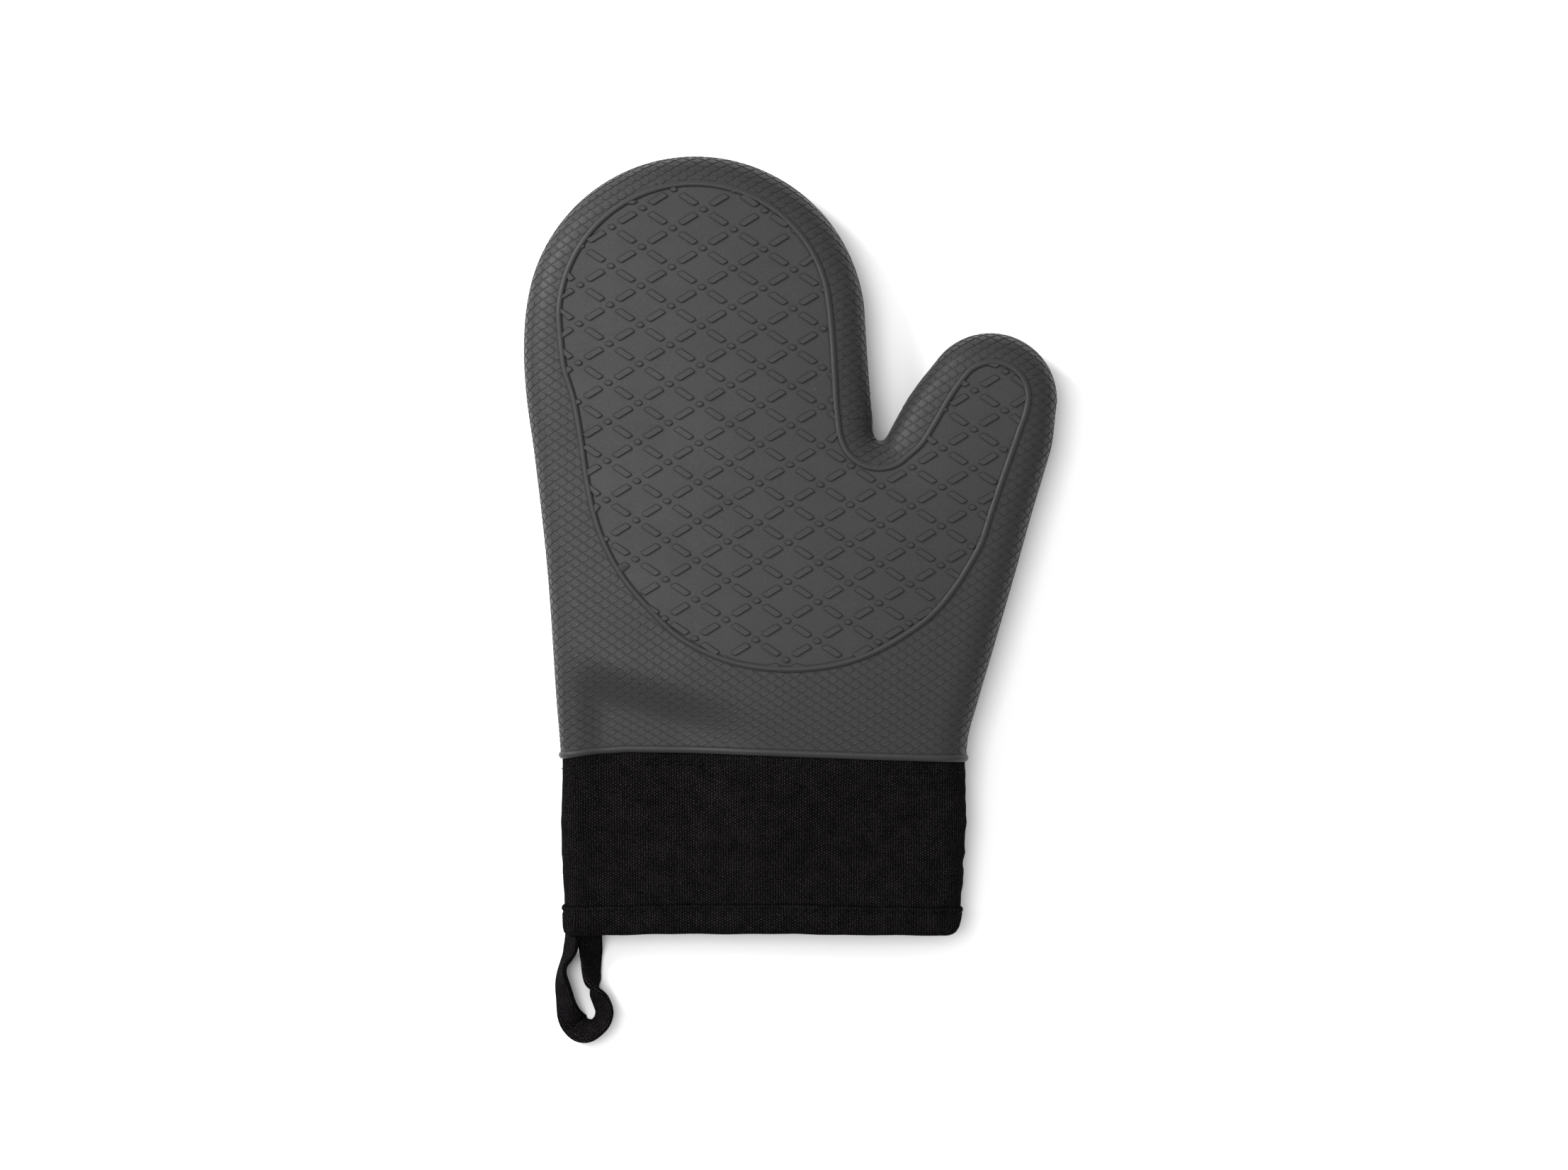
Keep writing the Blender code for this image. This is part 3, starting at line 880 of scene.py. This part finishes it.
def quilting(pattern):
    """How far the quilted lining puffs into the hand space between its diagonal seams."""
    u = (pattern[:, 0] + pattern[:, 1]) * math.pi / QUILT_SIZE
    v = (pattern[:, 0] - pattern[:, 1]) * math.pi / QUILT_SIZE
    return 1.3 * MM * np.sqrt(abs(np.sin(u) * np.sin(v)))


def soft_layer(skin, name, material, slot, depth, wall, puff):
    """One inner layer as a hand piece and a thumb piece."""
    soup = Soup()
    spacing = 3.0 * MM if puff else 5.0 * MM
    add_surface(soup, *skin_surface(skin, depth, HEM_BOTTOM_Y + 2 * MM, spacing, puff))
    for region, suffix, bend in ((MAIN, "hand", bend_with_fingers), (THUMB, "thumb", bend_with_thumb)):
        obj = soup.piece(f"{name}_{suffix}", region, material, 180)
        thicken(obj, wall)
        bend(obj)
        sections = ("palm", "finger") if region == MAIN else ("thumb",)
        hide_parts(*[f"{slot}_{part}_{half}" for part in sections for half in ("front", "back")])


def ripple(u, v, waves):
    """A sum of slow waves: (height, length along u, length along v, phase)."""
    return sum(height * np.sin(2 * math.pi * (u / along + v / across) + phase)
               for height, along, across, phase in waves)


def canvas_folds(share, y, front):
    """Soft folds of the canvas: puckers at the side seams, slow waves between them, and one dip in front."""
    width = 150 * MM
    x = share * width
    right = np.exp(-(1 - share) * width / (7 * MM))
    left = np.exp(-share * width / (5 * MM))
    pucker = (np.sin(2 * math.pi * y / (13 * MM) + 1.7 * np.sin(y / (7 * MM)))
              + 0.5 * np.sin(2 * math.pi * y / (5.6 * MM) + 1.0))
    turn = 0.0 if front else 2.6
    middle = np.sin(math.pi * share) ** 0.5
    waves = np.array([(0.50, 74, -64, 0.4 + turn), (0.32, 43, 95, 2.1 + turn),
                      (0.20, 27, -52, 4.0), (0.12, 15, 31, 1.0 + turn)])
    slow = ripple(x, y, waves * (MM, MM, MM, 1))
    dip = 0.0
    if front:
        over, up = share * 139 * MM - 119 * MM, y + 75 * MM
        dip = 0.75 * MM * np.exp(-((0.466 * over - 0.885 * up) / (4 * MM)) ** 2
                                - ((0.885 * over + 0.466 * up) / (13 * MM)) ** 2)
    return slow * middle + pucker * (0.26 * MM * right + 0.12 * MM * left) - dip


def cuff_panels(skin, material):
    columns, rows = 190, 48
    share = np.linspace(0, 1, columns)
    ys = np.linspace(RIM_Y + 4 * MM, HEM_TOP_Y - 1.5 * MM, rows)
    for front in (True, False):
        points, patterns = [], []
        for y in ys:
            row_y = np.full(columns, y)
            held = ramp(row_y, HEM_TOP_Y, HEM_TOP_Y + 8 * MM) * ramp(-row_y, -RIM_Y, -RIM_Y + 9 * MM)
            lift = -0.45 * MM + canvas_folds(share, row_y, front) * (0.35 + 0.65 * held)
            row, pattern = skin.section(share, row_y, front, lift)
            points.append(row)
            patterns.append(pattern)
        faces = grid_faces(rows, columns, flip=True)
        if not front:
            faces = [face[::-1] for face in faces]
        half = "front" if front else "back"
        points = rim_shift(np.vstack(points))
        obj = new_piece(f"cuff_canvas_{half}", points, faces, np.vstack(patterns), material)
        thicken(obj, CANVAS_WALL)
        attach(obj, "palm")
        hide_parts(f"cuff_{half}")


def hem_wobble(share, y, lift, front):
    """The hem rises a little towards its middle, and its surface is a little uneven."""
    bottom = ramp(-y, -HEM_TOP_Y, -HEM_BOTTOM_Y)
    arch = 0.45 + 0.62 * np.cos(2 * math.pi * (share - 0.5)) + 0.5 * (1 - share) * (1 - bottom)
    wave = ripple(share, y, [(0.10 * MM, 0.27, 1.0, 1.9), (0.07 * MM, 0.11, 1.0, 0.5)])
    rise = arch * MM * (1 - 0.35 * bottom) + wave
    swell = ripple(share, y, [(0.12 * MM, 0.083, 0.5, 0), (0.08 * MM, 0.037, 0.7, 2)])
    swell += canvas_folds(share, y, front) * 0.6
    return y + rise, lift + swell * ramp(lift, -2 * MM, -1 * MM)


def round_corners(points):
    """Rounds the hem's lower corners in plan, the right one more than the left one."""
    x, y, _ = points.T
    rise = np.zeros(len(points))
    for distance, radius in ((x.max() - x, 6.5 * MM), (x - x.min(), 1.5 * MM)):
        near = np.clip(1 - distance / radius, 0, 1)
        rise += radius * (1 - np.sqrt(1 - near ** 2))
    moved = points.copy()
    moved[:, 1] += np.minimum(rise, 7 * MM) * ramp(-y, -HEM_TOP_Y + 1 * MM, -HEM_BOTTOM_Y)
    return moved


def hem_band(skin, material):
    """The turned hem: a flat band outside, round at the mouth and turned in over the lining."""
    inner = -(LINING_DEPTH + LINING_WALL + 1.9 * MM)
    below_top = [(-0.9, -0.9), (-0.1, -0.6), (0, 0.1), (-0.4, 0.6), (-1.1, 0.65), (-1.9, 0.05)]
    below_top += [(-2.8, 0.5), (-5, 0.5)]
    above_mouth = [(2.2, 0.45), (0.8, 0.0), (0.1, -0.9), (0, -2.0)]
    runs = [(HEM_TOP_Y, 0, below_top), (HEM_BOTTOM_Y, 0, above_mouth),
            (HEM_BOTTOM_Y, inner, [(0, 1.6), (0.6, 0.4), (2, 0)]),
            (HEM_TOP_Y, inner, [(-1, 0), (-0.6, 0.7)])]
    profile = np.vstack([np.array(corners) * MM + (y, lift) for y, lift, corners in runs])
    points, pattern, faces = sweep_round_wrist(skin, profile, 300, hem_wobble)
    obj = new_piece("hem_band", round_corners(points), faces, pattern, material, 60)
    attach(obj, "palm")
    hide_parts("hem_binding")


def capsule(length, radius, sides=7):
    """A short thread: rings along X with rounded ends, dipping at both ends into the cloth."""
    rings = [(-0.5, 0.25), (-0.42, 0.8), (-0.2, 1.0), (0.2, 1.0), (0.42, 0.8), (0.5, 0.25)]
    points = []
    for along, share in rings:
        dip = -1.6 * radius * (2 * along) ** 4
        for k in range(sides):
            angle = 2 * math.pi * k / sides
            y, z = radius * share * math.cos(angle), radius * share * math.sin(angle)
            points.append((along * length, y, dip + z))
    faces = grid_faces(len(rings), sides, closed_columns=True, flip=True)
    numbers = list(range(len(points)))
    faces += [numbers[:sides], numbers[:-sides - 1:-1]]
    return np.array(points), faces


def add_stitch(soup, shape, faces, centre, axes, pattern=0.0, shift=np.array):
    """A thread shape with its middle at centre, turned to the axes along, across and up."""
    soup.add(shift(centre + shape @ np.array(axes)), pattern + shape[:, :2], faces, [MAIN] * len(faces))


def stitch_row(skin, name, node, material, y, lift, wobble=still):
    """Stitches one after another right round the wrist."""
    shape, faces = capsule(0.70 * STITCH_PITCH, 0.26 * MM)
    soup = Soup()
    random = np.random.default_rng(7)
    for front in (True, False):
        share = np.linspace(0, 1, 1200)
        row_y, row_lift = wobble(share, np.full(len(share), y), np.full(len(share), lift), front)
        line, pattern = skin.section(share, row_y, front, row_lift)
        above, _ = skin.section(share, row_y, front, row_lift + 1 * MM)
        run = run_along(line)
        count = int(run[-1] / STITCH_PITCH)
        for number in range(count):
            middle = np.clip(np.searchsorted(run, (number + 0.5) * run[-1] / count), 2, len(share) - 3)
            along = unit(line[middle + 2] - line[middle - 2])
            up = unit(above[middle] - line[middle])
            side = np.cross(up, along)
            axes = (along + side * random.normal(0, 0.05), side, up)
            add_stitch(soup, shape, faces, line[middle], axes, pattern[middle], rim_shift)
    obj = soup.piece(name, MAIN, material, 60)
    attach(obj, "palm")
    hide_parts(node)


def loop_stations():
    """Down the outer leg, round the eye and back up: x, y in millimetres, lean in degrees, bulk.

    At 0 degrees the tape stands on its edge, below 90 its outer face looks up, and past 180 its inner one.
    """
    return [(-75.8, -108, 27, 1), (-76.0, -118.5, 28, 1), (-76.7, -122.5, 29, 1),
            (-77.7, -125.1, 20, 1), (-79.2, -128.1, 11, 1), (-79.8, -131.1, 16, 1),
            (-79.7, -134.1, 27, 1), (-79.3, -137.1, 35, 1), (-78.7, -140.3, 41, 1),
            (-78.0, -143.6, 52, 1), (-77.0, -146.8, 70, 1), (-75.4, -149.4, 90, 1),
            (-73.0, -151.1, 112, 1), (-70.1, -151.3, 133, 1), (-67.7, -150.3, 146, 1),
            (-65.7, -148.0, 145, 1), (-64.9, -144.7, 141, 1), (-65.8, -141.6, 143, 1.2),
            (-67.5, -138.3, 158, 1.7), (-68.7, -134.9, 190, 2.0), (-69.5, -130.8, 213, 1.2),
            (-69.6, -126.5, 222, 1), (-69.7, -122.5, 233, 1), (-69.7, -118.5, 232, 1),
            (-69.7, -108, 225, 1)]


def hanging_loop(material, thread):
    """A strap of folded canvas, twisting from edge to face, with a line of stitches along its fold."""
    stations = np.array(loop_stations(), float)
    stations[:, :2] *= MM
    stations[:, 2] = np.radians(stations[:, 2]) * LOOP_LEAN_SCALE
    stations[:, 3] *= LOOP_LEAN_SCALE
    line = smooth_line(stations, 0.55 * MM)
    lean, bulk = line[:, 2] / LOOP_LEAN_SCALE, line[:, 3] / LOOP_LEAN_SCALE
    tallest = LOOP_WIDTH / 2 * abs(np.cos(lean)) + LOOP_THICK * bulk / 2 * abs(np.sin(lean))
    lifted = 4.6 * MM * ramp(line[:, 1], -127 * MM, HEM_BOTTOM_Y - 0.5 * MM)
    line = np.column_stack([line[:, :2], tallest + 0.15 * MM + lifted])
    tangent = unit(np.gradient(line, axis=0))
    outward = unit(np.cross(tangent, (0, 0, 1)))
    wide = np.array((0, 0, 1)) * np.cos(lean)[:, None] - outward * np.sin(lean)[:, None]
    face = np.cross(wide, tangent)
    folded = tape_section(LOOP_WIDTH, LOOP_THICK)
    points = np.vstack([line + wide * across + face * (out * bulk)[:, None] for across, out in folded])
    length, count = run_along(line), len(line)
    pattern = np.vstack([np.column_stack([np.full(count, around), length]) for around in run_along(folded)])
    faces = grid_faces(len(folded), count, closed_rows=True)
    first = [r * count for r in range(len(folded))]
    faces += [first, [v + count - 1 for v in reversed(first)]]
    obj = new_piece("loop_tape", points, faces, pattern, material, 50)
    shape, faces = capsule(2.2 * MM, 0.22 * MM)
    soup = Soup()
    for distance in np.arange(9 * MM, length[-1] - 9 * MM, 3.0 * MM):
        k = int(np.searchsorted(length, distance))
        for side in (1, -1):
            up = face[k] * side
            raised = LOOP_THICK / 2 * bulk[k] - 0.14 * MM
            centre = line[k] + wide[k] * (LOOP_WIDTH / 2 - 1.35 * MM) + up * raised
            add_stitch(soup, shape, faces, centre, (tangent[k], np.cross(up, tangent[k]), up))
    sewn = soup.piece("loop_stitches", MAIN, thread, 60)
    for piece in (obj, sewn):
        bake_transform(piece)
    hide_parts("hanging_loop", "loop_sewn_ends")


def tape_section(width, thick):
    """Across the folded tape: two round folds, and a groove where the stitches pull it in near one."""
    half, deep = width / 2, thick / 2
    inset = [(0, 0), (0.12, 0.62), (0.5, 1.05), (0.9, 1), (1.35, 0.62), (1.8, 1), (2.6, 1.08)]
    upper = [(half - x * MM, out * deep) for x, out in inset] + [(0, 1.05 * deep)]
    upper += [(x * MM - half, out * deep) for x, out in ((0.6, 0.98), (0.15, 0.6), (0, 0))]
    lower = [(across, -out) for across, out in reversed(upper[1:-1])]
    return np.array(upper + lower)


# ---- stage ----

def stage():
    """A white table under a white sky, with two area lights."""
    mesh = bpy.data.meshes.new("floor")
    bm = bmesh.new()
    bmesh.ops.create_grid(bm, x_segments=1, y_segments=1, size=6.0)
    bm.to_mesh(mesh)
    bm.free()
    mesh.materials.append(floor_material())
    floor = new_object("floor", mesh)
    floor.location.z = -0.2 * MM

    world = bpy.data.worlds.new("studio")
    world.use_nodes = True
    background = world.node_tree.nodes["Background"]
    background.inputs["Color"].default_value = (1, 1, 1, 1)
    background.inputs["Strength"].default_value = WORLD_STRENGTH
    bpy.context.scene.world = world
    for name, place, size, power in LIGHTS:
        data = bpy.data.lights.new(name, "AREA")
        data.size = size
        data.energy = power
        light = new_object(name, data)
        light.location = place
        light.rotation_euler = (-Vector(place)).to_track_quat("-Z", "Y").to_euler()


def camera():
    """Straight above the mitt."""
    data = bpy.data.cameras.new("camera")
    data.lens = 80
    data.sensor_width = 36
    obj = new_object("camera", data)
    height = GLOVE_BOX[1].z / 2 + VIEW_WIDTH * data.lens / data.sensor_width
    obj.location = (*VIEW_CENTRE, height)
    bpy.context.scene.camera = obj
    bpy.context.scene.view_settings.view_transform = "Standard"


def main():
    skin = Skin()
    canvas = woven_material("canvas", (0.0010, 0.0009, 0.0010), (0.0235, 0.0208, 0.0226),
                            0.90 * MM, 0.45 * MM, 0.16 * MM, 0.9, 0.01, 0.0)
    lining = woven_material("lining", (0.030, 0.030, 0.031), (0.10, 0.10, 0.10),
                            0.40 * MM, 0.40 * MM, 0.12 * MM, 0.9, 0.2, 0.1)
    thread = thread_material()
    silicone_glove(skin, silicone_material())
    soft_layer(skin, "wadding", wadding_material(), "wadding", WADDING_DEPTH, WADDING_WALL, None)
    soft_layer(skin, "quilted_lining", lining, "lining", LINING_DEPTH, LINING_WALL, quilting)
    cuff_panels(skin, canvas)
    hem_band(skin, canvas)
    stitch_row(skin, "rim_stitches", "rim_stitching", thread, RIM_Y - 3.6 * MM, -0.38 * MM)
    stitch_row(skin, "hem_stitches", "hem_stitching", thread, HEM_TOP_Y - 1.9 * MM, 0.12 * MM, hem_wobble)
    hanging_loop(canvas, thread)
    stage()
    camera()


main()
